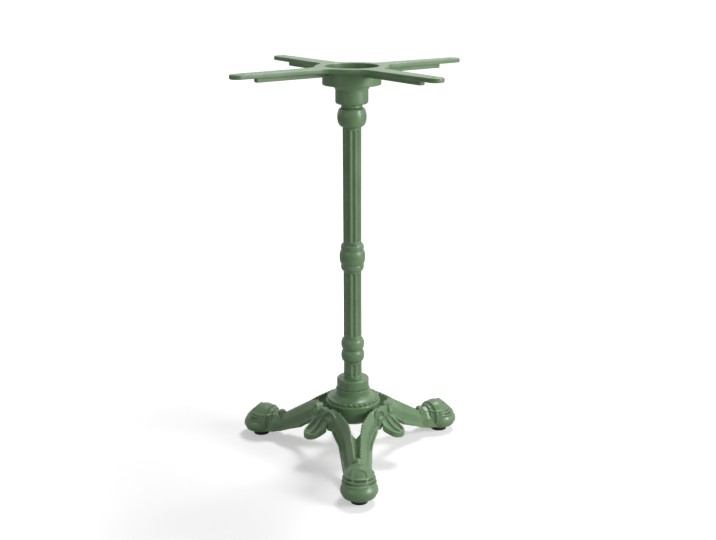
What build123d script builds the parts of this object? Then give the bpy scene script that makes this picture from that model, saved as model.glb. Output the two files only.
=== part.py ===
"""Cast bistro table base: three-leg foot, fluted column and four-arm top spider, in millimetres."""
import os
from math import atan2, cos, pi, sin

from build123d import *

os.makedirs("parts", exist_ok=True)

# Overall sizes: +Z is up, the floor is z = 0 and the column axis is the Z axis
HEIGHT = 720.0
LEG_COUNT = 3
LEG_ANGLE = -2.7
FOOT_REACH = 201.0
FIT = 0.2
# Flats that stand for a round: in a turned ring, the ball, a quarter round and the hub's bowl
RING_STEPS = 3
BALL_STEPS = 5
ROUND_STEPS = 3
BOWL_STEPS = 2

# Tie rod, nuts and washers
ROD_D = 12.0
ROD_HOLE_D = 14.0
ROD_PROUD = 4.0
NUT_AF = 19.0
NUT_H = 10.0
WASHER_D = 28.0
WASHER_T = 2.5

# Spider: plate with four arms, ribs below, and the cup that holds the top nut
ARM_COUNT = 4
ARM_REACH = 239.0
ARM_ROOT_W = 40.0
ARM_TIP_W = 28.0
PLATE_T = 7.5
RIB_W = 11.0
RIB_H = 8.0
RIB_SETBACK = 47.0
SCREW_INSET = 22.0
SCREW_D = 6.5
RING_R = 64.0
RING_FILLET = 24.0
CUP_MOUTH_R = 47.0
CUP_WALL = 4.0
CUP_DEPTH = 32.0
CUP_FLOOR_T = 10.0
COLLAR_R = 28.7
COLLAR_FLARE = 7.0
COLLAR_FLARE_H = 12.0
COLLAR_HOLLOW = 2.3
COLLAR_H = 33.0
COLLAR_ROUND = 2.5

# Column: neck, ball, fluted shaft, knop and rings
SHAFT_R = 16.4
NECK_R = 18.6
BORE_R = 8.5
BALL_R = 25.6
BALL_DROP = 87.5
BALL_H = 34.0
KNOP_R = 23.2
KNOP_SHARE = 0.4243
KNOP_H = 26.0
KNOP_RING_R = 20.6
KNOP_RING_H = 11.5
KNOP_WAIST_R = 19.6
LOW_RING_R = 21.0
LOW_RING_RISE = 74.0
LOW_RING_H = 22.0
FLUTE_COUNT = 10
FLUTE_ANGLE = 23.0
FLUTE_R = 4.6
FLUTE_DEPTH = 2.4
FLUTE_SIDES = 8
FLUTE_MARGIN = 5.0
SEAT_Z = 132.0
PLINTH_R = 29.3
PLINTH_H = 19.0
PLINTH_ROUND = 1.5
SPIGOT_R = 20.0
SPIGOT_H = 18.0

# Hub of the three-leg foot
HUB_SEAT_R = 31.0
HUB_SEAT_H = 12.0
HUB_FLARE_R = 41.0
BEAD_R = 47.0
BEAD_Z = 111.0
BEAD_H = 6.0
BOWL_R = 50.0
BOWL_H = 12.0
HUB_BASE_R = 38.0
HUB_BASE_Z = 72.0
HUB_FLOOR_T = 14.0
HUB_RECESS_R = 28.0

# Arms: two per leg, run from a root beside the hub to the ankle
SHOULDER_R = 42.0
ANKLE_SETBACK = 52.0
WALL_SPREAD = 16.5
CREST_W = 7.0
CREST_H = 3.0
GROOVE = 2.5
RIDGE = 3.0
FACE_SHARE = 0.76
VALLEY = 12.0
WEB_T = 8.0
# share of the run, sideways offset, crest height, wall depth, share of the full spread;
# the arms of a leg are joined from the fourth station on
ARM_STATIONS = (
    (0.06, 42.0, 106.0, 34.0, 0.4),
    (0.16, 29.5, 105.0, 40.0, 0.8),
    (0.38, 14.5, 93.0, 45.0, 1.0),
    (0.52, 11.0, 82.5, 42.0, 1.0),
    (1.00, 6.0, 51.0, 30.0, 1.0),
)
FREE_STATIONS = 3
# Rolled end of each arm, with a teardrop bud on it
ROLL_R = 13.5
ROLL_H = 40.0
ROLL_W = 12.0
ROLL_OUT = 5.0
BUD_R = 8.5
BUD_DROP = 5.0
BUD_TAIL = 19.0
BUD_H = 4.5
BUD_TAPER = 30.0
BUD_SIDES = 8

# Roots between the legs, with a shell hanging from each
ROOT_IN_R = 40.0
ROOT_OUT_R = 66.0
ROOT_HALF_W = 18.0
ROOT_TOP_Z = 99.0
ROOT_H = 27.0
SHELL_END_R = 104.0
SHELL_HALF_W = 19.0
SHELL_NOSE = 17.0
SHELL_WING_R = 73.0
SHELL_WING_HALF_W = 24.0
SHELL_STEM_W = 18.0
SHELL_NECK_W = 10.0
SHELL_TOP_Z = 101.0
SHELL_CENTRE_R = 112.0
SHELL_CENTRE_Z = 112.0
SHELL_CURVE_R = 50.0
SHELL_T = 10.0
SHELL_RIM = 4.5
SHELL_RECESS = 3.5
SHELL_RIB_W = 7.0
SHELL_RIB_TIP_W = 2.5

# Feet, ankle knobs and glides
FOOT_BASE_Z = 9.0
FOOT_BASE_R = 20.0
BUN_R = 32.5
BUN_Z = 22.5
BUN_TOP_Z = 46.0
BUN_SIDES = 18
DOME_R = 28.0
DOME_H = 28.0
DOME_SETBACK = 10.0
DOME_Z = 34.0
DOME_SIDES = 16
DOME_STEPS = 4
KNOB_R = 6.5
KNOB_SETBACK = 48.0
KNOB_Z = 52.0
KNOB_SIDES = 8
# setback from the foot centre, half width, underside height, top height
ANKLE_SECTIONS = (
    (58.0, 15.0, 21.0, 42.0),
    (40.0, 22.0, 17.0, 53.0),
    (13.0, 25.0, 14.0, 56.0),
)
PAD_R = 15.0
STUD_D = 8.0
STUD_DEPTH = 20.0

# Derived places
ankle_r = FOOT_REACH - ANKLE_SETBACK
cup_base_z = HEIGHT - CUP_DEPTH
cup_floor_z = cup_base_z + CUP_FLOOR_T
collar_base_z = cup_base_z - COLLAR_H
hub_floor_z = SEAT_Z - SPIGOT_H - HUB_FLOOR_T
plate_z = HEIGHT - PLATE_T
bolt_r = ARM_REACH - SCREW_INSET
leg_step = 360.0 / LEG_COUNT
ball_z = HEIGHT - BALL_DROP
knop_z = SEAT_Z + KNOP_SHARE * (HEIGHT - SEAT_Z)
low_ring_z = SEAT_Z + LOW_RING_RISE


def swell(low, high, proud, steps):
    """Points of a half ellipse that stands out from the line between two profile points."""
    points = []
    for k in range(1, steps):
        turn = pi * k / steps
        share = (1 - cos(turn)) / 2
        points.append(
            (
                low[0] + share * (high[0] - low[0]) + proud * sin(turn),
                low[1] + share * (high[1] - low[1]),
            )
        )
    return points


def quarter(centre, across, up, steps):
    """Points of a quarter ellipse, from its side to its top or foot."""
    return [
        (centre[0] + across * cos(pi / 2 * k / steps), centre[1] + up * sin(pi / 2 * k / steps))
        for k in range(steps + 1)
    ]


# Column
plinth_top = SEAT_Z + PLINTH_H
spigot_z = SEAT_Z - SPIGOT_H
low_base = (SHAFT_R, low_ring_z - LOW_RING_H)
low_waist = (SHAFT_R, low_ring_z)
low_top = (SHAFT_R, low_ring_z + LOW_RING_H)
knop_low = (KNOP_WAIST_R, knop_z - KNOP_H / 2)
knop_high = (KNOP_WAIST_R, knop_z + KNOP_H / 2)
knop_base = (SHAFT_R, knop_low[1] - KNOP_RING_H)
knop_top = (SHAFT_R, knop_high[1] + KNOP_RING_H)
ball_low = (SHAFT_R, ball_z - BALL_H / 2)
ball_high = (NECK_R, ball_z + BALL_H / 2)
knop_ring_proud = KNOP_RING_R - (SHAFT_R + KNOP_WAIST_R) / 2
flute_runs = ((plinth_top, low_base[1]), (low_top[1], knop_base[1]), (knop_top[1], ball_low[1]))

with BuildPart() as column:
    with BuildSketch(Plane.XZ):
        with BuildLine():
            Polyline(
                (BORE_R, spigot_z),
                (SPIGOT_R, spigot_z),
                (SPIGOT_R, SEAT_Z),
                (PLINTH_R, SEAT_Z),
                (PLINTH_R, plinth_top - PLINTH_ROUND),
                (PLINTH_R - PLINTH_ROUND, plinth_top),
                (SHAFT_R, plinth_top),
                low_base,
                *swell(low_base, low_waist, LOW_RING_R - SHAFT_R, RING_STEPS),
                low_waist,
                *swell(low_waist, low_top, LOW_RING_R - SHAFT_R, RING_STEPS),
                low_top,
                knop_base,
                *swell(knop_base, knop_low, knop_ring_proud, RING_STEPS),
                knop_low,
                *swell(knop_low, knop_high, KNOP_R - KNOP_WAIST_R, RING_STEPS),
                knop_high,
                *swell(knop_high, knop_top, knop_ring_proud, RING_STEPS),
                knop_top,
                ball_low,
                *swell(ball_low, ball_high, BALL_R - (SHAFT_R + NECK_R) / 2, BALL_STEPS),
                ball_high,
                (NECK_R, cup_base_z),
                (BORE_R, cup_base_z),
                close=True,
            )
        make_face()
    revolve(axis=Axis.Z)
    for run_low, run_high in flute_runs:
        with BuildSketch(Plane.XY.offset(run_low + FLUTE_MARGIN)):
            with PolarLocations(SHAFT_R + FLUTE_R - FLUTE_DEPTH, FLUTE_COUNT, start_angle=FLUTE_ANGLE):
                RegularPolygon(FLUTE_R, FLUTE_SIDES)
        extrude(amount=run_high - run_low - 2 * FLUTE_MARGIN, mode=Mode.SUBTRACT)
column.part.label = "column"
export_step(column.part, "parts/column.step")

# Spider: plate, ribs, nut cup and the collar that takes the column's neck
rib_end = ARM_REACH - RIB_SETBACK
arm_end = ARM_REACH - ARM_TIP_W / 2
cup_outer_r = CUP_MOUTH_R + CUP_WALL
flare_top = (COLLAR_R + COLLAR_FLARE, cup_base_z)
flare_low = (COLLAR_R, cup_base_z - COLLAR_FLARE_H)

with BuildPart() as top_spider:
    with BuildSketch(Plane.XY.offset(plate_z)) as plate_outline:
        Circle(RING_R)
        with BuildLine():
            Polyline(
                (0, ARM_ROOT_W / 2),
                (arm_end, ARM_TIP_W / 2),
                (arm_end, -ARM_TIP_W / 2),
                (0, -ARM_ROOT_W / 2),
                close=True,
            )
        arm_outline = make_face(mode=Mode.PRIVATE)
        with PolarLocations(0, ARM_COUNT):
            add(arm_outline)
        with PolarLocations(arm_end, ARM_COUNT):
            Circle(ARM_TIP_W / 2)
        inner_corners = plate_outline.vertices().filter_by(
            lambda v: abs((v.X**2 + v.Y**2) ** 0.5 - RING_R) < FIT
        )
        fillet(inner_corners, RING_FILLET)
        with PolarLocations(bolt_r, ARM_COUNT):
            Circle(SCREW_D / 2, mode=Mode.SUBTRACT)
    extrude(amount=PLATE_T)
    with BuildSketch(Plane.XY.offset(plate_z)):
        with PolarLocations(rib_end / 2, ARM_COUNT):
            Rectangle(rib_end, RIB_W)
    extrude(amount=-RIB_H)
    with BuildSketch(Plane.XZ):
        with BuildLine():
            Polyline(
                (0, plate_z),
                (cup_outer_r, plate_z),
                (cup_outer_r, cup_base_z),
                flare_top,
                *swell(flare_top, flare_low, -COLLAR_HOLLOW, RING_STEPS),
                flare_low,
                (COLLAR_R, collar_base_z + COLLAR_ROUND),
                (COLLAR_R - COLLAR_ROUND, collar_base_z),
                (0, collar_base_z),
                close=True,
            )
        make_face()
    revolve(axis=Axis.Z)
    with BuildSketch(Plane.XY.offset(HEIGHT)):
        Circle(CUP_MOUTH_R)
    extrude(amount=cup_floor_z - HEIGHT, mode=Mode.SUBTRACT)
    with BuildSketch(Plane.XY.offset(collar_base_z)):
        Circle(NECK_R + FIT)
    extrude(amount=cup_base_z - collar_base_z, mode=Mode.SUBTRACT)
    with BuildSketch(Plane.XY.offset(collar_base_z)):
        Circle(ROD_HOLE_D / 2)
    extrude(amount=cup_floor_z - collar_base_z, mode=Mode.SUBTRACT)
top_spider.part.label = "top_spider"
export_step(top_spider.part, "parts/top_spider.step")

# One arm of a leg, lofted from its rolled end to where it joins its twin
face_u = WALL_SPREAD - RIDGE - GROOVE


def wall_outline(depth, spread):
    """One arm's section from its inner crest edge round the swelling face, groove and ridge to its foot."""
    return [
        (-CREST_W / 2, -CREST_H),
        (0, 0),
        (spread * (CREST_W + face_u) / 2, -FACE_SHARE * depth / 2),
        (spread * face_u, -FACE_SHARE * depth),
        (spread * WALL_SPREAD, -FACE_SHARE * depth - 2 * GROOVE),
        (spread * (WALL_SPREAD - RIDGE), -depth),
        ((2 * spread - 1) * CREST_W / 2, -depth),
    ]


arm_places = [
    (SHOULDER_R + share * (ankle_r - SHOULDER_R), offset, crest_z, depth, spread)
    for share, offset, crest_z, depth, spread in ARM_STATIONS
]
free_end, joined = arm_places[: FREE_STATIONS + 1], arm_places[FREE_STATIONS:]

with BuildPart() as arm:
    for i, (along, offset, crest_z, depth, spread) in enumerate(free_end):
        heading = 0.0
        if i < FREE_STATIONS:
            before, after = arm_places[max(i - 1, 0)], arm_places[i + 1]
            heading = atan2(after[1] - before[1], after[0] - before[0])
        station = Plane(
            origin=(along, offset, crest_z),
            x_dir=(-sin(heading), cos(heading), 0),
            z_dir=(cos(heading), sin(heading), 0),
        )
        with BuildSketch(station):
            with BuildLine():
                Polyline(*wall_outline(depth, spread), close=True)
            make_face()
    loft(ruled=True)

# The joined arms of a leg down to the ankle, with the valley between their crests
with BuildPart() as shank:
    for along, offset, crest_z, depth, spread in joined:
        side = [(offset + u, v) for u, v in wall_outline(depth, spread)] + [(offset, -VALLEY - WEB_T)]
        with BuildSketch(Plane.YZ.offset(along).shift_origin((along, 0, crest_z))):
            with BuildLine():
                Polyline((0, -VALLEY), *side, *[(-u, v) for u, v in reversed(side)], close=True)
            make_face()
    loft(ruled=True)

# Rolled end of an arm
shoulder, second = arm_places[0], arm_places[1]
roll_heading = atan2(second[1] - shoulder[1], second[0] - shoulder[0])
roll_out = Vector(-sin(roll_heading), cos(roll_heading), 0)
roll_centre = Vector(shoulder[0], shoulder[1], shoulder[2] - ROLL_R)
roll_face = Plane(
    origin=roll_centre + roll_out * ROLL_OUT,
    x_dir=(-cos(roll_heading), -sin(roll_heading), 0),
    z_dir=roll_out,
)
roll_foot = ROLL_R - ROLL_H

with BuildPart() as roll:
    with BuildSketch(roll_face):
        with BuildLine():
            Polyline(
                (ROLL_R / 2, roll_foot),
                *quarter((0, 0), ROLL_R, ROLL_R, ROUND_STEPS),
                *reversed(quarter((0, 0), -ROLL_R, ROLL_R, ROUND_STEPS)[:-1]),
                (-ROLL_R / 2, roll_foot),
                close=True,
            )
        make_face()
    extrude(amount=-ROLL_W)
    with BuildSketch(roll_face):
        with Locations((0, -BUD_DROP)):
            RegularPolygon(BUD_R, BUD_SIDES)
        with BuildLine():
            Polyline((-BUD_R, -BUD_DROP), (BUD_R, -BUD_DROP), (0, -BUD_DROP - BUD_TAIL), close=True)
        make_face()
    extrude(amount=BUD_H, taper=BUD_TAPER)

# One foot: ankle, round bun, dome and the knob where the arms join
dome_r = FOOT_REACH - DOME_SETBACK
knob_r = FOOT_REACH - KNOB_SETBACK
bun_under = quarter((FOOT_BASE_R, BUN_Z), BUN_R - FOOT_BASE_R, FOOT_BASE_Z - BUN_Z, BOWL_STEPS)
bun_over = quarter((0, BUN_Z), BUN_R, BUN_TOP_Z - BUN_Z, ROUND_STEPS)
bun_profile = bun_under[:0:-1] + bun_over[:-1]
dome_profile = quarter((0, DOME_Z), DOME_R, DOME_H, DOME_STEPS)[:-1]
knob_profile = [(KNOB_R, KNOB_Z - KNOB_R)] + quarter((0, KNOB_Z), KNOB_R, KNOB_R, ROUND_STEPS)[:-1]
turned_forms = (
    (FOOT_REACH, BUN_SIDES, bun_profile),
    (dome_r, DOME_SIDES, dome_profile),
    (knob_r, KNOB_SIDES, knob_profile),
)

with BuildPart() as foot:
    for setback, half_w, low_z, top_z in ANKLE_SECTIONS:
        with BuildSketch(Plane.YZ.offset(FOOT_REACH - setback)):
            with BuildLine():
                Polyline(
                    *quarter((0, low_z), half_w, top_z - low_z, ROUND_STEPS),
                    *reversed(quarter((0, low_z), -half_w, top_z - low_z, ROUND_STEPS)[:-1]),
                    close=True,
                )
            make_face()
    loft(ruled=True)
    for centre_r, sides, profile in turned_forms:
        for (low_r, low_z), (high_r, high_z) in zip(profile, profile[1:]):
            with BuildSketch(Plane.XY.offset(low_z)):
                with Locations((centre_r, 0)):
                    RegularPolygon(low_r, sides, major_radius=False)
            extrude(amount=high_z - low_z, taper=atan2(low_r - high_r, high_z - low_z) * 180 / pi)
    split(bisect_by=Plane.XY.offset(FOOT_BASE_Z))
    with BuildSketch(Plane.XY.offset(FOOT_BASE_Z)):
        with Locations((FOOT_REACH, 0)):
            Circle(STUD_D / 2)
    extrude(amount=STUD_DEPTH, mode=Mode.SUBTRACT)

# One root between two legs, drawn along +X, with the shell that hangs from it
nose_r = SHELL_END_R - SHELL_NOSE

with BuildPart() as root:
    with BuildSketch(Plane.XZ.offset(-ROOT_HALF_W)):
        with BuildLine():
            Polyline(
                (ROOT_IN_R, ROOT_TOP_Z),
                (ROOT_OUT_R, ROOT_TOP_Z - CREST_W),
                (ROOT_OUT_R + CREST_W, ROOT_TOP_Z - ROOT_H),
                (ROOT_IN_R, ROOT_TOP_Z - ROOT_H),
                close=True,
            )
        make_face()
    extrude(amount=2 * ROOT_HALF_W)

with BuildPart() as shell:
    with BuildSketch(Plane.XZ.offset(-SHELL_WING_HALF_W)):
        with Locations((SHELL_CENTRE_R, SHELL_CENTRE_Z)):
            Circle(SHELL_CURVE_R + SHELL_T)
            Circle(SHELL_CURVE_R, mode=Mode.SUBTRACT)
    extrude(amount=2 * SHELL_WING_HALF_W)
    with BuildSketch(Plane.XY):
        with BuildLine():
            Polyline(
                (nose_r, -SHELL_HALF_W),
                (SHELL_WING_R, -SHELL_WING_HALF_W),
                (ROOT_OUT_R, -SHELL_STEM_W / 2),
                (ROOT_IN_R, -SHELL_NECK_W / 2),
                (ROOT_IN_R, SHELL_NECK_W / 2),
                (ROOT_OUT_R, SHELL_STEM_W / 2),
                (SHELL_WING_R, SHELL_WING_HALF_W),
                (nose_r, SHELL_HALF_W),
            )
            ThreePointArc((nose_r, SHELL_HALF_W), (SHELL_END_R, 0), (nose_r, -SHELL_HALF_W))
        make_face()
    extrude(amount=SHELL_TOP_Z, mode=Mode.INTERSECT)

# Two hollows in the shell's face, with the rim round them and a rib between
with BuildPart() as shell_hollows:
    with BuildSketch(Plane.XZ.offset(-SHELL_WING_HALF_W)):
        with Locations((SHELL_CENTRE_R, SHELL_CENTRE_Z)):
            Circle(SHELL_CURVE_R + SHELL_RECESS)
    extrude(amount=2 * SHELL_WING_HALF_W)
    with BuildSketch(Plane.XY):
        with BuildLine():
            Polyline(
                (nose_r, -SHELL_HALF_W + SHELL_RIM),
                (SHELL_WING_R, -SHELL_HALF_W + SHELL_RIM),
                (ROOT_OUT_R, -SHELL_STEM_W / 2 + SHELL_RIM),
                (ROOT_OUT_R, SHELL_STEM_W / 2 - SHELL_RIM),
                (SHELL_WING_R, SHELL_HALF_W - SHELL_RIM),
                (nose_r, SHELL_HALF_W - SHELL_RIM),
            )
            ThreePointArc(
                (nose_r, SHELL_HALF_W - SHELL_RIM),
                (SHELL_END_R - SHELL_RIM, 0),
                (nose_r, -SHELL_HALF_W + SHELL_RIM),
            )
        make_face()
        with BuildLine():
            Polyline(
                (ROOT_OUT_R, SHELL_RIB_TIP_W / 2),
                (nose_r, SHELL_RIB_W / 2),
                (SHELL_END_R, SHELL_RIB_W / 2),
                (SHELL_END_R, -SHELL_RIB_W / 2),
                (nose_r, -SHELL_RIB_W / 2),
                (ROOT_OUT_R, -SHELL_RIB_TIP_W / 2),
                close=True,
            )
        make_face(mode=Mode.SUBTRACT)
    extrude(amount=SHELL_TOP_Z, mode=Mode.INTERSECT)

# Three-leg foot casting: hub, three pairs of arms, three feet and three roots with shells
bead_top = (BEAD_R, BEAD_Z + BEAD_H / 2)
bead_low = (BEAD_R, BEAD_Z - BEAD_H / 2)
bowl_z = bead_low[1] - BOWL_H

with BuildPart() as base_casting:
    with BuildSketch(Plane.XZ):
        with BuildLine():
            Polyline(
                (0, SEAT_Z),
                (HUB_SEAT_R, SEAT_Z),
                (HUB_SEAT_R, SEAT_Z - HUB_SEAT_H),
                (HUB_FLARE_R, bead_top[1]),
                bead_top,
                bead_low,
                (BOWL_R, bead_low[1]),
                *quarter((HUB_BASE_R, bowl_z), BOWL_R - HUB_BASE_R, HUB_BASE_Z - bowl_z, BOWL_STEPS),
                (0, HUB_BASE_Z),
                close=True,
            )
        make_face()
    revolve(axis=Axis.Z)
    with PolarLocations(0, LEG_COUNT, start_angle=LEG_ANGLE):
        add(foot.part)
        add(shank.part)
        for side_piece in (arm.part, roll.part):
            add(side_piece)
            add(mirror(side_piece, about=Plane.XZ, mode=Mode.PRIVATE))
    with PolarLocations(0, LEG_COUNT, start_angle=LEG_ANGLE + leg_step / 2):
        add(root.part)
        add(shell.part)
        add(shell_hollows.part, mode=Mode.SUBTRACT)
    with BuildSketch(Plane.XY.offset(SEAT_Z)):
        Circle(SPIGOT_R + FIT)
    extrude(amount=-SPIGOT_H - FIT, mode=Mode.SUBTRACT)
    with BuildSketch(Plane.XY.offset(HUB_BASE_Z)):
        Circle(HUB_RECESS_R)
    extrude(amount=hub_floor_z - HUB_BASE_Z, mode=Mode.SUBTRACT)
    with BuildSketch(Plane.XY.offset(HUB_BASE_Z)):
        Circle(ROD_HOLE_D / 2)
    extrude(amount=SEAT_Z - HUB_BASE_Z, mode=Mode.SUBTRACT)
base_casting.part.label = "base_casting"
export_step(base_casting.part, "parts/base_casting.step")

# Tie rod with a washer and nut at each end
top_nut_z = cup_floor_z + WASHER_T
bottom_nut_z = hub_floor_z - WASHER_T - NUT_H

with BuildPart() as tie_rod:
    with BuildSketch(Plane.XY.offset(bottom_nut_z - ROD_PROUD)):
        Circle(ROD_D / 2)
    extrude(amount=top_nut_z + NUT_H - bottom_nut_z + 2 * ROD_PROUD)
tie_rod.part.label = "tie_rod"
export_step(tie_rod.part, "parts/tie_rod.step")

with BuildPart() as rod_nuts:
    for nut_z in (top_nut_z, bottom_nut_z):
        with BuildSketch(Plane.XY.offset(nut_z)):
            RegularPolygon(NUT_AF / 2, 6, major_radius=False)
            Circle(ROD_D / 2, mode=Mode.SUBTRACT)
        extrude(amount=NUT_H)
rod_nuts.part.label = "rod_nuts"
export_step(rod_nuts.part, "parts/rod_nuts.step")

with BuildPart() as rod_washers:
    for washer_z in (cup_floor_z, hub_floor_z - WASHER_T):
        with BuildSketch(Plane.XY.offset(washer_z)):
            Circle(WASHER_D / 2)
            Circle(ROD_HOLE_D / 2, mode=Mode.SUBTRACT)
        extrude(amount=WASHER_T)
rod_washers.part.label = "rod_washers"
export_step(rod_washers.part, "parts/rod_washers.step")

# Glides: a black pad on a steel stud under each foot
with BuildPart() as glide_pads:
    with BuildSketch():
        with PolarLocations(FOOT_REACH, LEG_COUNT, start_angle=LEG_ANGLE):
            Circle(PAD_R)
    extrude(amount=FOOT_BASE_Z)
glide_pads.part.label = "glide_pads"
export_step(glide_pads.part, "parts/glide_pads.step")

with BuildPart() as glide_studs:
    with BuildSketch(Plane.XY.offset(FOOT_BASE_Z)):
        with PolarLocations(FOOT_REACH, LEG_COUNT, start_angle=LEG_ANGLE):
            Circle(STUD_D / 2)
    extrude(amount=STUD_DEPTH)
glide_studs.part.label = "glide_studs"
export_step(glide_studs.part, "parts/glide_studs.step")
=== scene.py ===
"""Looks of the three-leg bistro table base: painted castings, steel fasteners, rubber glides."""

import math

import bpy
from mathutils import Matrix, Vector


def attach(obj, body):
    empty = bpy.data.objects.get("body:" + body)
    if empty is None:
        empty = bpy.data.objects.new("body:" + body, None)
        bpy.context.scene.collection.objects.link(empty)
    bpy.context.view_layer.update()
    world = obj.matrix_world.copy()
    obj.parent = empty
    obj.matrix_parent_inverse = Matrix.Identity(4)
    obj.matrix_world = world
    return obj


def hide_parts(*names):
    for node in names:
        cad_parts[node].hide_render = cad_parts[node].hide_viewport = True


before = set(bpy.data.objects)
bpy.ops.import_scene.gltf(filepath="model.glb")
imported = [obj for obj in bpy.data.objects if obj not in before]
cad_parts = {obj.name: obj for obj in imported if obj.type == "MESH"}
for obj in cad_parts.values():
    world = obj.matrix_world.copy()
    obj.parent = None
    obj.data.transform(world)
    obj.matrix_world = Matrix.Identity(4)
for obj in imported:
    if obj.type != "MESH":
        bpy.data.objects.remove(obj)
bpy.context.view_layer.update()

MM = 0.001
MERGE = 0.01 * MM

# Photograph: image width in pixels and the camera that sees the base as it does
IMAGE_W = 716
CAMERA_AZIMUTH = math.radians(-35.6)
CAMERA_DISTANCE = 1.989
CAMERA_HEIGHT = 0.9245
CAMERA_PITCH = 0.2784
CAMERA_YAW = 0.005
CAMERA_ROLL = -0.0023
CAMERA_FOCAL_PX = 1149.65
SENSOR_MM = 36.0

# Poured skins: cell size in millimetres, rounds of smoothing, triangles kept
FOOT_CELL = 1.0
FOOT_ROUNDS = 3
COLUMN_CELL = 0.9
COLUMN_ROUNDS = 4
SMOOTH_SHARE = 0.5
SKIN_TRIANGLES = 180000

# Rounded edges of the spider and the small pieces, in millimetres
SPIDER_EDGE = 1.4
SPIDER_EDGE_STEPS = 3
SMALL_EDGE_STEPS = 2
EDGE_ANGLE = math.radians(40)
SHADE_ANGLE = math.radians(35)
FLAT_ANGLE = math.radians(1)

# Three-leg foot, in millimetres: the places of its carving
LEGS = 3
LEG_ANGLE = -2.7
FOOT_REACH = 201.0
FOOT_BASE_Z = 9.0
BUN_R = 33.0
BUN_Z = 22.5
BUN_RISE = 23.6
BUN_DROP = 14.2
BUN_MESH = (48, 32)
DOME_R = 28.5
DOME_REACH = 191.0
DOME_Z = 34.0
DOME_SINK = 8.0
DOME_MESH = (48, 24)
# distance from the dome's centre, lean in degrees
LEAF_EDGES = ((-13.0, 0.0), (-22.0, -6.0), (25.0, 39.0))
LEAF_EDGE_R = 2.0
LEAF_EDGE_MESH = (48, 10)
# reach, radius and height
LEAF_RIMS = ((198.0, 28.6, 37.0), (194.5, 27.3, 42.5), (191.0, 25.6, 47.5))
LEAF_RIM_R = 1.8
LEAF_RIM_MESH = (64, 10)
CURL_REACH = 153.0
CURL_Z = 51.5
CURL_R = 7.0
CURL_W = 15.0
CURL_RIM = 2.4
CURL_EYE = 2.0
CURL_SIDES = 32
END_FACE = 0.9
SHOULDER = (48.42, 42.0, 106.0)
SHOULDER_NEXT = (59.12, 29.5, 105.0)
ROLL_R = 13.5
ROLL_OUT = 5.0
BUD_R = 8.6
BUD_LOW = 5.0
BUD_TAIL = 20.0
BUD_PROUD = 6.2
BUD_NARROWING = (0.25, 0.5, 0.75)
BUD_SQUEEZE = 0.85
BUD_MESH = (32, 20)
HOOK_R = 11.4
HOOK_BAND_R = 2.4
HOOK_TAIL = 17.0
HOOK_MESH = (48, 12)
CREST = ((59.1, 29.5, 105.0), (82.7, 14.5, 93.0), (97.6, 11.0, 82.5), (143.0, 6.4, 54.5))
PEARL_R = 1.9
PEARL_IN = 2.1
PEARL_SINK = 1.7
PEARL_PITCH = 6.5
RIDGE = ((67.4, 39.8, 69.6), (89.8, 29.4, 53.8), (97.6, 27.5, 45.6), (149.0, 22.5, 23.2))
RIDGE_R = 2.4
RIDGE_SIDES = 16
HUB_PEARLS = 30
HUB_PEARL_R = 2.6
HUB_PEARL_REACH = 46.2
HUB_PEARL_Z = 113.2
PEARL_FINENESS = 2

# Column, in millimetres: height, radius, proud and half height of the ball, knop and rings
SWELLINGS = (
    (632.5, 17.5, 8.2, 17.0),
    (400.2, 18.0, 2.7, 5.8),
    (381.5, 19.6, 3.7, 13.0),
    (362.7, 18.0, 2.7, 5.8),
    (217.0, 16.4, 4.7, 11.0),
    (195.0, 16.4, 4.7, 11.0),
)
SWELLING_MESH = (72, 32)

# Thread on the ends of the tie rod, in millimetres
ROD_R = 6.0
THREAD_START = 1.7
THREAD_PITCH = 1.75
THREAD_TURNS = 14
THREAD_DEPTH = 0.9

# Green paint, colours linear: mottling, painted shade in the hollows, orange peel and gloss
GREEN_LIGHT = (0.124, 0.218, 0.104, 1.0)
GREEN_DARK = (0.098, 0.182, 0.080, 1.0)
MOTTLE_SCALE = 22.0
MOTTLE_DETAIL = 4.0
MOTTLE_DARK_AT = 0.35
MOTTLE_LIGHT_AT = 0.65
# Painted shade in the hollows of the poured skins: the pointiness over which the colour is
# darkened, and the share of the colour kept in the deepest hollows
PAINTED_SHADE_FROM = 0.44
PAINTED_SHADE_TO = 0.495
PAINTED_SHADE_DARKEST = 0.25
PEEL_SCALE = 260.0
LUMP_SCALE = 70.0
PEEL_DETAIL = 2.0
PEEL_SHARE = 0.6
PEEL_STRENGTH = 0.14
PEEL_DEPTH = 0.0006
PAINT_ROUGHNESS = 0.42
PAINT_SPECULAR = 0.5
COAT_WEIGHT = 0.16
COAT_ROUGHNESS = 0.2

# Steel of the fasteners and rubber of the glides: colour, grain, least and most roughness
STEEL = (0.55, 0.55, 0.57, 1.0)
STEEL_GRAIN = 400.0
STEEL_ROUGHNESS = (0.3, 0.45)
RUBBER = (0.012, 0.012, 0.012, 1.0)
RUBBER_GRAIN = 300.0
RUBBER_ROUGHNESS = (0.55, 0.75)

# Floor, in metres. For the camera it glows a little near the base and is plain white far off
FLOOR = (0.70, 0.70, 0.70, 1.0)
FLOOR_SIZE = 40.0
FLOOR_ROUGHNESS = 0.9
FLOOR_SPECULAR = 0.1
FLOOR_GLOW = 0.44
FLOOR_NEAR = 0.38
FLOOR_FAR = 1.0

# Light: soft light all round, and lamps with place, size, power and whether they cast a shadow
WHITE = (1, 1, 1, 1)
SOFT_LIGHT = 0.15
LAMPS = (
    ("key", (2.1, -1.0, 1.1), 0.9, 48.0, True),
    ("fill", (-1.7, -1.5, 0.9), 0.5, 4.4, False),
    ("top", (0.6, 0.8, 2.4), 0.7, 36.0, True),
)
LAMP_AIM = (0, 0, 0.35)


def pick_only(piece):
    """Leaves just this piece selected and active."""
    bpy.ops.object.select_all(action="DESELECT")
    piece.select_set(True)
    bpy.context.view_layer.objects.active = piece


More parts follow.
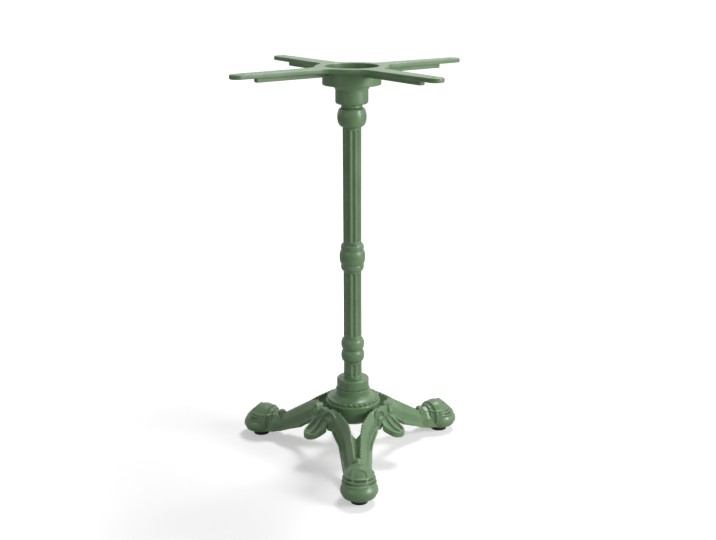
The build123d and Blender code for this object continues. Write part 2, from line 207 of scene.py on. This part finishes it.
def copy_of_casting(node, name):
    """A copy of a CAD node's mesh, with its loose triangles joined into one skin."""
    piece = bpy.data.objects.new(name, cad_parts[node].data.copy())
    bpy.context.scene.collection.objects.link(piece)
    pick_only(piece)
    bpy.ops.object.mode_set(mode="EDIT")
    bpy.ops.mesh.select_all(action="SELECT")
    bpy.ops.mesh.remove_doubles(threshold=MERGE)
    bpy.ops.object.mode_set(mode="OBJECT")
    return piece


def join_into(piece, extras):
    """Joins the extras into the piece."""
    pick_only(piece)
    for extra in extras:
        extra.select_set(True)
    bpy.ops.object.join()


def apply_modifier(piece, kind, **settings):
    """Adds one modifier with its settings and applies it."""
    pick_only(piece)
    modifier = piece.modifiers.new(kind.lower(), kind)
    for key, value in settings.items():
        setattr(modifier, key, value)
    bpy.ops.object.modifier_apply(modifier=modifier.name)


def pour_skin(piece, cell, rounds):
    """Turns the piece into one poured skin with soft edges and corners."""
    apply_modifier(piece, "REMESH", mode="VOXEL", voxel_size=cell * MM, adaptivity=0.0)
    apply_modifier(piece, "SMOOTH", factor=SMOOTH_SHARE, iterations=rounds)
    count = sum(len(face.vertices) - 2 for face in piece.data.polygons)
    if count > SKIN_TRIANGLES:
        apply_modifier(piece, "DECIMATE", ratio=SKIN_TRIANGLES / count)
    pick_only(piece)
    bpy.ops.object.shade_smooth()
    # Marks the poured skins, whose hollows the green paint darkens with painted shade
    poured = piece.data.attributes.new("poured", "FLOAT", "POINT")
    poured.data.foreach_set("value", [1.0] * len(piece.data.vertices))


def dissolve_flats(piece):
    """Joins the triangles of each flat face."""
    pick_only(piece)
    bpy.ops.object.mode_set(mode="EDIT")
    bpy.ops.mesh.select_all(action="SELECT")
    bpy.ops.mesh.dissolve_limited(angle_limit=FLAT_ANGLE)
    bpy.ops.object.mode_set(mode="OBJECT")


def round_edges(piece, width, steps):
    """Rounds the sharp edges of a piece."""
    apply_modifier(
        piece,
        "BEVEL",
        width=width * MM,
        segments=steps,
        limit_method="ANGLE",
        angle_limit=EDGE_ANGLE,
        use_clamp_overlap=False,
    )


def shade_flats(piece):
    """Smooth shading that keeps the flat faces of a piece flat."""
    apply_modifier(piece, "TRIANGULATE", ngon_method="BEAUTY", min_vertices=5)
    pick_only(piece)
    bpy.ops.object.shade_smooth_by_angle(angle=SHADE_ANGLE)
    apply_modifier(piece, "WEIGHTED_NORMAL", keep_sharp=True)


def dress(piece, material, node):
    """Gives a piece its finish and lets it stand for its CAD node."""
    piece.data.materials.clear()
    piece.data.materials.append(material)
    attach(piece, "root")
    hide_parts(node)


# Materials
def new_material(name):
    """A material with its nodes, its links and its shader."""
    material = bpy.data.materials.new(name)
    material.use_nodes = True
    nodes = material.node_tree.nodes
    return material, nodes, material.node_tree.links, nodes["Principled BSDF"]


def set_values(node, values):
    """Sets sockets of a node by their names."""
    for name, value in values.items():
        node.inputs[name].default_value = value


def add_node(nodes, kind, **values):
    """Adds a node. In a socket's name here, _ stands for a space."""
    node = nodes.new(kind)
    set_values(node, {name.replace("_", " "): value for name, value in values.items()})
    return node


def green_paint():
    """Soft-gloss green paint on cast iron: faint mottling, painted shade in the hollows, a fine
    orange peel.
    """
    material, nodes, links, shader = new_material("green_paint")
    place = add_node(nodes, "ShaderNodeTexCoord")
    mottle = add_node(nodes, "ShaderNodeTexNoise", Scale=MOTTLE_SCALE, Detail=MOTTLE_DETAIL)
    tone = add_node(nodes, "ShaderNodeValToRGB")
    dark, light = tone.color_ramp.elements
    dark.position, dark.color = MOTTLE_DARK_AT, GREEN_DARK
    light.position, light.color = MOTTLE_LIGHT_AT, GREEN_LIGHT
    # Painted shade: where a poured skin curves inwards, its pointiness darkens the colour; other
    # pieces keep the full colour
    form = add_node(nodes, "ShaderNodeNewGeometry")
    depth = add_node(
        nodes, "ShaderNodeMapRange", From_Min=PAINTED_SHADE_FROM, From_Max=PAINTED_SHADE_TO, To_Min=PAINTED_SHADE_DARKEST
    )
    poured = add_node(nodes, "ShaderNodeAttribute")
    poured.attribute_name = "poured"
    painted_shade_mix = add_node(nodes, "ShaderNodeMix", A=1.0)
    shade = add_node(nodes, "ShaderNodeHueSaturation")
    peel = add_node(nodes, "ShaderNodeTexNoise", Scale=PEEL_SCALE, Detail=PEEL_DETAIL)
    lumps = add_node(nodes, "ShaderNodeTexNoise", Scale=LUMP_SCALE, Detail=PEEL_DETAIL)
    relief = add_node(nodes, "ShaderNodeMix", Factor=PEEL_SHARE)
    bump = add_node(nodes, "ShaderNodeBump", Strength=PEEL_STRENGTH, Distance=PEEL_DEPTH)
    for texture in (mottle, peel, lumps):
        links.new(place.outputs["Object"], texture.inputs["Vector"])
    links.new(mottle.outputs["Fac"], tone.inputs["Fac"])
    links.new(form.outputs["Pointiness"], depth.inputs["Value"])
    links.new(poured.outputs["Fac"], painted_shade_mix.inputs["Factor"])
    links.new(depth.outputs["Result"], painted_shade_mix.inputs["B"])
    links.new(painted_shade_mix.outputs["Result"], shade.inputs["Value"])
    links.new(tone.outputs["Color"], shade.inputs["Color"])
    links.new(shade.outputs["Color"], shader.inputs["Base Color"])
    links.new(lumps.outputs["Fac"], relief.inputs["A"])
    links.new(peel.outputs["Fac"], relief.inputs["B"])
    links.new(relief.outputs["Result"], bump.inputs["Height"])
    links.new(bump.outputs["Normal"], shader.inputs["Normal"])
    gloss = {
        "Roughness": PAINT_ROUGHNESS,
        "Specular IOR Level": PAINT_SPECULAR,
        "Coat Weight": COAT_WEIGHT,
        "Coat Roughness": COAT_ROUGHNESS,
    }
    set_values(shader, gloss)
    return material


def grained(name, colour, grain, roughness, metallic):
    """A plain finish whose gloss varies with a fine grain."""
    material, nodes, links, shader = new_material(name)
    place = add_node(nodes, "ShaderNodeTexCoord")
    speckle = add_node(nodes, "ShaderNodeTexNoise", Scale=grain)
    least, most = roughness
    rough = add_node(nodes, "ShaderNodeMapRange", To_Min=least, To_Max=most)
    links.new(place.outputs["Object"], speckle.inputs["Vector"])
    links.new(speckle.outputs["Fac"], rough.inputs["Value"])
    links.new(rough.outputs["Result"], shader.inputs["Roughness"])
    set_values(shader, {"Base Color": colour, "Metallic": metallic})
    return material


def fastener_steel():
    """Zinc-plated steel with a faint turned grain."""
    return grained("fastener_steel", STEEL, STEEL_GRAIN, STEEL_ROUGHNESS, 1.0)


def glide_rubber():
    """Matt black rubber."""
    return grained("glide_rubber", RUBBER, RUBBER_GRAIN, RUBBER_ROUGHNESS, 0.0)


# Carving on the three-leg foot, drawn for the leg that runs along +X and then copied round
def start_from(primitive, **size_and_place):
    """Adds one primitive with nothing else selected and puts its place into its mesh."""
    bpy.ops.object.select_all(action="DESELECT")
    primitive(**size_and_place)
    piece = bpy.context.object
    bpy.ops.object.transform_apply(location=True, rotation=True, scale=True)
    return piece


def start_round(radius, mesh, **place):
    """Starts a piece from a sphere."""
    segments, rings = mesh
    return start_from(
        bpy.ops.mesh.primitive_uv_sphere_add,
        radius=radius * MM,
        segments=segments,
        ring_count=rings,
        **place,
    )


def start_ring(radius, thickness, mesh, **place):
    """Starts a piece from a ring of round section."""
    segments, sides = mesh
    return start_from(
        bpy.ops.mesh.primitive_torus_add,
        major_radius=radius * MM,
        minor_radius=thickness * MM,
        major_segments=segments,
        minor_segments=sides,
        **place,
    )


def start_pearl(radius, **place):
    """Starts a bead from a coarse ball."""
    return start_from(
        bpy.ops.mesh.primitive_ico_sphere_add,
        subdivisions=PEARL_FINENESS,
        radius=radius * MM,
        **place,
    )


def stretch(piece, centre, factors, chosen=None):
    """Scales the chosen points of a piece about a centre, in edit mode."""
    pick_only(piece)
    bpy.ops.object.mode_set(mode="EDIT")
    bpy.ops.mesh.select_mode(type="VERT")
    bpy.ops.mesh.select_all(action="SELECT" if chosen is None else "DESELECT")
    bpy.ops.object.mode_set(mode="OBJECT")
    if chosen is not None:
        for point in piece.data.vertices:
            point.select = chosen(point.co)
    bpy.ops.object.mode_set(mode="EDIT")
    bpy.ops.transform.resize(value=factors, center_override=centre)
    bpy.ops.object.mode_set(mode="OBJECT")


def cut_flat(piece, place, normal):
    """Cuts away what lies on the far side of a plane and closes the cut."""
    pick_only(piece)
    bpy.ops.object.mode_set(mode="EDIT")
    bpy.ops.mesh.select_all(action="SELECT")
    bpy.ops.mesh.bisect(plane_co=place, plane_no=normal, use_fill=True, clear_outer=True)
    bpy.ops.object.mode_set(mode="OBJECT")


def moved_copy(piece, move):
    """A copy with its own mesh, moved by a matrix and turned right side out."""
    copy = bpy.data.objects.new(piece.name, piece.data.copy())
    bpy.context.scene.collection.objects.link(copy)
    copy.data.transform(move)
    if move.determinant() < 0:
        copy.data.flip_normals()
    return copy


def toe_bun():
    """Smooth bun of the foot, flat where the glide sits."""
    centre = Vector((FOOT_REACH, 0, BUN_Z)) * MM
    piece = start_round(BUN_R, BUN_MESH, location=centre)
    stretch(piece, centre, (1, 1, BUN_RISE / BUN_R), lambda co: co.z > centre.z)
    stretch(piece, centre, (1, 1, BUN_DROP / BUN_R), lambda co: co.z < centre.z)
    cut_flat(piece, (0, 0, FOOT_BASE_Z * MM), (0, 0, -1))
    return piece


def leaf_dome():
    """Smooth dome over the foot."""
    centre = Vector((DOME_REACH, 0, DOME_Z)) * MM
    piece = start_round(DOME_R, DOME_MESH, location=centre)
    cut_flat(piece, centre - Vector((0, 0, DOME_SINK * MM)), (0, 0, -1))
    return piece


def leaf_edge(away, lean):
    """Raised edge of a leaf that arches over the dome, at a distance from its centre."""
    lean = math.radians(lean)
    radius = math.sqrt(DOME_R**2 - away**2)
    normal = Vector((math.cos(lean), 0, math.sin(lean)))
    centre = (Vector((DOME_REACH, 0, DOME_Z)) + normal * away) * MM
    upright = (0, math.pi / 2 - lean, 0)
    return start_ring(radius, LEAF_EDGE_R, LEAF_EDGE_MESH, location=centre, rotation=upright)


def leaf_rim(reach, radius, height):
    """Rim of a leaf that lies round the dome and over the bun."""
    centre = Vector((reach, 0, height)) * MM
    return start_ring(radius, LEAF_RIM_R, LEAF_RIM_MESH, location=centre)


def ankle_curl():
    """Small scroll where the arms join: a rolled bar with sunk eyes."""
    piece = start_from(
        bpy.ops.mesh.primitive_cylinder_add,
        vertices=CURL_SIDES,
        radius=CURL_R * MM,
        depth=CURL_W * MM,
        location=Vector((CURL_REACH, 0, CURL_Z)) * MM,
        rotation=(math.pi / 2, 0, 0),
    )
    pick_only(piece)
    for face in piece.data.polygons:
        face.select = abs(face.normal.y) > END_FACE
    bpy.ops.object.mode_set(mode="EDIT")
    bpy.ops.mesh.select_mode(type="FACE")
    bpy.ops.mesh.inset(thickness=CURL_RIM * MM, depth=0)
    bpy.ops.mesh.inset(thickness=0, depth=-CURL_EYE * MM)
    bpy.ops.object.mode_set(mode="OBJECT")
    return piece


def rolled_plane():
    """Places things on the rolled end of an arm: across, up its face, and out of it."""
    run = Vector(SHOULDER_NEXT) - Vector(SHOULDER)
    heading = math.atan2(run.y, run.x)
    across = Vector((-math.cos(heading), -math.sin(heading), 0))
    out = Vector((-math.sin(heading), math.cos(heading), 0))
    centre = Vector(SHOULDER) - Vector((0, 0, ROLL_R)) + out * ROLL_OUT
    place = Matrix((across, Vector((0, 0, 1)), out)).transposed().to_4x4()
    place.translation = centre * MM
    return place


def teardrop_bud():
    """Teardrop bud, drawn flat: round above, drawn out to a point below."""
    piece = start_round(BUD_R, BUD_MESH)
    stretch(piece, (0, 0, 0), (1, 1, BUD_PROUD / BUD_R))
    stretch(piece, (0, 0, 0), (1, BUD_TAIL / BUD_R, 1), lambda co: co.y < 0)
    for share in BUD_NARROWING:
        limit = -share * BUD_TAIL * MM
        narrower = (BUD_SQUEEZE, 1, BUD_SQUEEZE)
        stretch(piece, (0, limit, 0), narrower, lambda co: co.y < limit)
    piece.data.transform(Matrix.Translation((0, -BUD_LOW * MM, 0)))
    return piece


def hook_band():
    """Band of the arm's crest that curls round the bud."""
    piece = start_ring(HOOK_R, HOOK_BAND_R, HOOK_MESH)
    stretch(piece, (0, 0, 0), (1, HOOK_TAIL / HOOK_R, 1), lambda co: co.y < 0)
    return piece


def crest_beads():
    """Beads along the inner edge of one arm's crest."""
    pearl = start_pearl(PEARL_R)
    inside = Vector((0, PEARL_IN, PEARL_SINK))
    pearls = []
    step = 0.0
    for start, end in zip(CREST, CREST[1:]):
        start, end = Vector(start), Vector(end)
        length = (end - start).length
        while step < length:
            place = (start.lerp(end, step / length) - inside) * MM
            pearls.append(moved_copy(pearl, Matrix.Translation(place)))
            step += PEARL_PITCH
        step -= length
    bpy.data.objects.remove(pearl)
    return pearls


def outer_ridge():
    """Round ridge along the lower edge of one arm's outer face."""
    lengths = []
    for start, end in zip(RIDGE, RIDGE[1:]):
        start, end = Vector(start) * MM, Vector(end) * MM
        run = end - start
        rod = start_from(
            bpy.ops.mesh.primitive_cylinder_add,
            vertices=RIDGE_SIDES,
            radius=RIDGE_R * MM,
            depth=run.length,
            location=(start + end) / 2,
            rotation=run.to_track_quat("Z", "Y").to_euler(),
        )
        lengths += [rod, start_pearl(RIDGE_R, location=start)]
    return lengths


def hub_beads():
    """Ring of beads round the hub."""
    pearl = start_pearl(HUB_PEARL_R)
    outwards = Vector((HUB_PEARL_REACH, 0, HUB_PEARL_Z)) * MM
    pearl.data.transform(Matrix.Translation(outwards))
    turns = [Matrix.Rotation(2 * math.pi * k / HUB_PEARLS, 4, "Z") for k in range(HUB_PEARLS)]
    pearls = [moved_copy(pearl, turn) for turn in turns]
    bpy.data.objects.remove(pearl)
    return pearls


def foot_carving():
    """All that is carved on one leg, then on the other two."""
    on_roll = rolled_plane()
    other_side = Matrix.Scale(-1, 4, (0, 1, 0))
    middle = [toe_bun(), leaf_dome(), ankle_curl()]
    middle += [leaf_edge(*edge) for edge in LEAF_EDGES]
    middle += [leaf_rim(*rim) for rim in LEAF_RIMS]
    flat = [teardrop_bud(), hook_band()]
    side = [moved_copy(piece, on_roll) for piece in flat] + crest_beads() + outer_ridge()
    leg = middle + side + [moved_copy(piece, other_side) for piece in side]
    angles = [math.radians(LEG_ANGLE + 360.0 / LEGS * k) for k in range(LEGS)]
    turns = [Matrix.Rotation(angle, 4, "Z") for angle in angles]
    carved = [moved_copy(piece, turn) for turn in turns for piece in leg]
    for piece in flat + leg:
        bpy.data.objects.remove(piece)
    return carved


# Castings
def base_casting(paint):
    """Foot casting with its carving, poured as one skin."""
    piece = copy_of_casting("base_casting", "base_casting_skin")
    join_into(piece, foot_carving() + hub_beads())
    pour_skin(piece, FOOT_CELL, FOOT_ROUNDS)
    dress(piece, paint, "base_casting")


def swelling(height, radius, proud, half_height):
    """Smooth turned swelling round the column."""
    centre = Vector((0, 0, height)) * MM
    piece = start_ring(radius, proud, SWELLING_MESH, location=centre)
    stretch(piece, centre, (1, 1, half_height / proud))
    return piece


def column(paint):
    """Fluted column with its ball, knop and rings, poured as one skin."""
    piece = copy_of_casting("column", "column_skin")
    join_into(piece, [swelling(*size) for size in SWELLINGS])
    pour_skin(piece, COLUMN_CELL, COLUMN_ROUNDS)
    dress(piece, paint, "column")


def top_spider(paint):
    """Spider with flat faces and rounded edges."""
    piece = copy_of_casting("top_spider", "top_spider_skin")
    dissolve_flats(piece)
    round_edges(piece, SPIDER_EDGE, SPIDER_EDGE_STEPS)
    shade_flats(piece)
    dress(piece, paint, "top_spider")


# Fasteners and glides keep the form of their solids, with rounded edges
def cut_thread(rod):
    """Cuts a coarse thread into both ends of the rod, groove by groove."""
    heights = [corner[2] for corner in rod.bound_box]
    turns = [(THREAD_START + THREAD_PITCH * k) * MM for k in range(THREAD_TURNS)]
    grooves = [min(heights) + turn for turn in turns] + [max(heights) - turn for turn in turns]
    half = THREAD_PITCH / 2 * MM
    pick_only(rod)
    bpy.ops.object.mode_set(mode="EDIT")
    for groove in grooves:
        for height in (groove - half, groove, groove + half):
            bpy.ops.mesh.select_all(action="SELECT")
            bpy.ops.mesh.bisect(plane_co=(0, 0, height), plane_no=(0, 0, 1))
    bpy.ops.object.mode_set(mode="OBJECT")
    narrowed = 1 - THREAD_DEPTH / ROD_R

    def in_groove(co):
        return any(abs(co.z - groove) < MERGE for groove in grooves)

    stretch(rod, (0, 0, 0), (narrowed, narrowed, 1), in_groove)


def small_pieces(steel, rubber):
    """Rod, nuts, washers, studs and glides: node, finish, slot and width of the rounded edges."""
    for node, material, slot, edge in (
        ("tie_rod", steel, "fastener_steel", 0.6),
        ("rod_nuts", steel, "fastener_steel", 0.6),
        ("rod_washers", steel, "fastener_steel", 0.3),
        ("glide_studs", steel, "fastener_steel", 0.3),
        ("glide_pads", rubber, "glide_rubber", 1.2),
    ):
        piece = copy_of_casting(node, node + "_piece")
        round_edges(piece, edge, SMALL_EDGE_STEPS)
        if node == "tie_rod":
            cut_thread(piece)
        shade_flats(piece)
        dress(piece, material, node)


# Studio
def studio_floor():
    """Pale floor that keeps the base's shadow and turns white with the distance."""
    bpy.ops.object.select_all(action="DESELECT")
    bpy.ops.mesh.primitive_plane_add(size=FLOOR_SIZE, location=(0, 0, 0))
    floor = bpy.context.object
    floor.name = "studio_floor"
    material, nodes, links, shader = new_material("studio_floor")
    matt = {
        "Base Color": FLOOR,
        "Roughness": FLOOR_ROUGHNESS,
        "Specular IOR Level": FLOOR_SPECULAR,
    }
    set_values(shader, matt)
    place = add_node(nodes, "ShaderNodeTexCoord")
    distance = add_node(nodes, "ShaderNodeVectorMath")
    distance.operation = "LENGTH"
    far = add_node(
        nodes,
        "ShaderNodeMapRange",
        From_Min=FLOOR_NEAR,
        From_Max=FLOOR_FAR,
        To_Min=FLOOR_GLOW,
        To_Max=1.0,
    )
    far.interpolation_type = "SMOOTHSTEP"
    path = add_node(nodes, "ShaderNodeLightPath")
    seen = add_node(nodes, "ShaderNodeMath")
    seen.operation = "MULTIPLY"
    glow = add_node(nodes, "ShaderNodeEmission")
    total = add_node(nodes, "ShaderNodeAddShader")
    links.new(place.outputs["Object"], distance.inputs[0])
    links.new(distance.outputs["Value"], far.inputs["Value"])
    links.new(far.outputs["Result"], seen.inputs[0])
    links.new(path.outputs["Is Camera Ray"], seen.inputs[1])
    links.new(seen.outputs[0], glow.inputs["Strength"])
    links.new(shader.outputs[0], total.inputs[0])
    links.new(glow.outputs[0], total.inputs[1])
    links.new(total.outputs[0], nodes["Material Output"].inputs["Surface"])
    floor.data.materials.append(material)


def studio_world():
    """Soft light all round, seen as plain white by the camera and in reflections."""
    world = bpy.data.worlds.new("studio")
    bpy.context.scene.world = world
    world.use_nodes = True
    nodes, links = world.node_tree.nodes, world.node_tree.links
    soft = nodes["Background"]
    set_values(soft, {"Color": WHITE, "Strength": SOFT_LIGHT})
    white = add_node(nodes, "ShaderNodeBackground", Color=WHITE, Strength=1.0)
    path = add_node(nodes, "ShaderNodeLightPath")
    shown = add_node(nodes, "ShaderNodeMath")
    shown.operation = "MAXIMUM"
    mix = add_node(nodes, "ShaderNodeMixShader")
    links.new(path.outputs["Is Camera Ray"], shown.inputs[0])
    links.new(path.outputs["Is Glossy Ray"], shown.inputs[1])
    links.new(shown.outputs[0], mix.inputs[0])
    links.new(soft.outputs[0], mix.inputs[1])
    links.new(white.outputs[0], mix.inputs[2])
    links.new(mix.outputs[0], nodes["World Output"].inputs["Surface"])


def studio_lamps():
    """Lamps placed as the camera sees the base, all turned to its middle."""
    turn = Matrix.Rotation(CAMERA_AZIMUTH, 3, "Z")
    for name, place, size, power, shadow in LAMPS:
        lamp = bpy.data.lights.new(name, "AREA")
        lamp.use_shadow = shadow
        lamp.energy = power
        lamp.size = size
        holder = bpy.data.objects.new(name, lamp)
        bpy.context.scene.collection.objects.link(holder)
        holder.location = turn @ Vector(place)
        aim = Vector(LAMP_AIM) - holder.location
        holder.rotation_euler = aim.to_track_quat("-Z", "Y").to_euler()


def photo_camera():
    """Camera at the photograph's viewing angle."""
    lens = bpy.data.cameras.new("photo_camera")
    lens.sensor_width = SENSOR_MM
    lens.lens = CAMERA_FOCAL_PX / IMAGE_W * SENSOR_MM
    holder = bpy.data.objects.new("photo_camera", lens)
    bpy.context.scene.collection.objects.link(holder)
    holder.location = (
        CAMERA_DISTANCE * math.sin(CAMERA_AZIMUTH),
        -CAMERA_DISTANCE * math.cos(CAMERA_AZIMUTH),
        CAMERA_HEIGHT,
    )
    turn = (
        Matrix.Rotation(CAMERA_AZIMUTH - CAMERA_YAW, 3, "Z")
        @ Matrix.Rotation(math.pi / 2 - CAMERA_PITCH, 3, "X")
        @ Matrix.Rotation(CAMERA_ROLL, 3, "Z")
    )
    holder.rotation_euler = turn.to_euler()
    bpy.context.scene.camera = holder


paint = green_paint()
base_casting(paint)
column(paint)
top_spider(paint)
small_pieces(fastener_steel(), glide_rubber())
studio_floor()
studio_world()
studio_lamps()
photo_camera()
bpy.context.scene.view_settings.view_transform = "Standard"
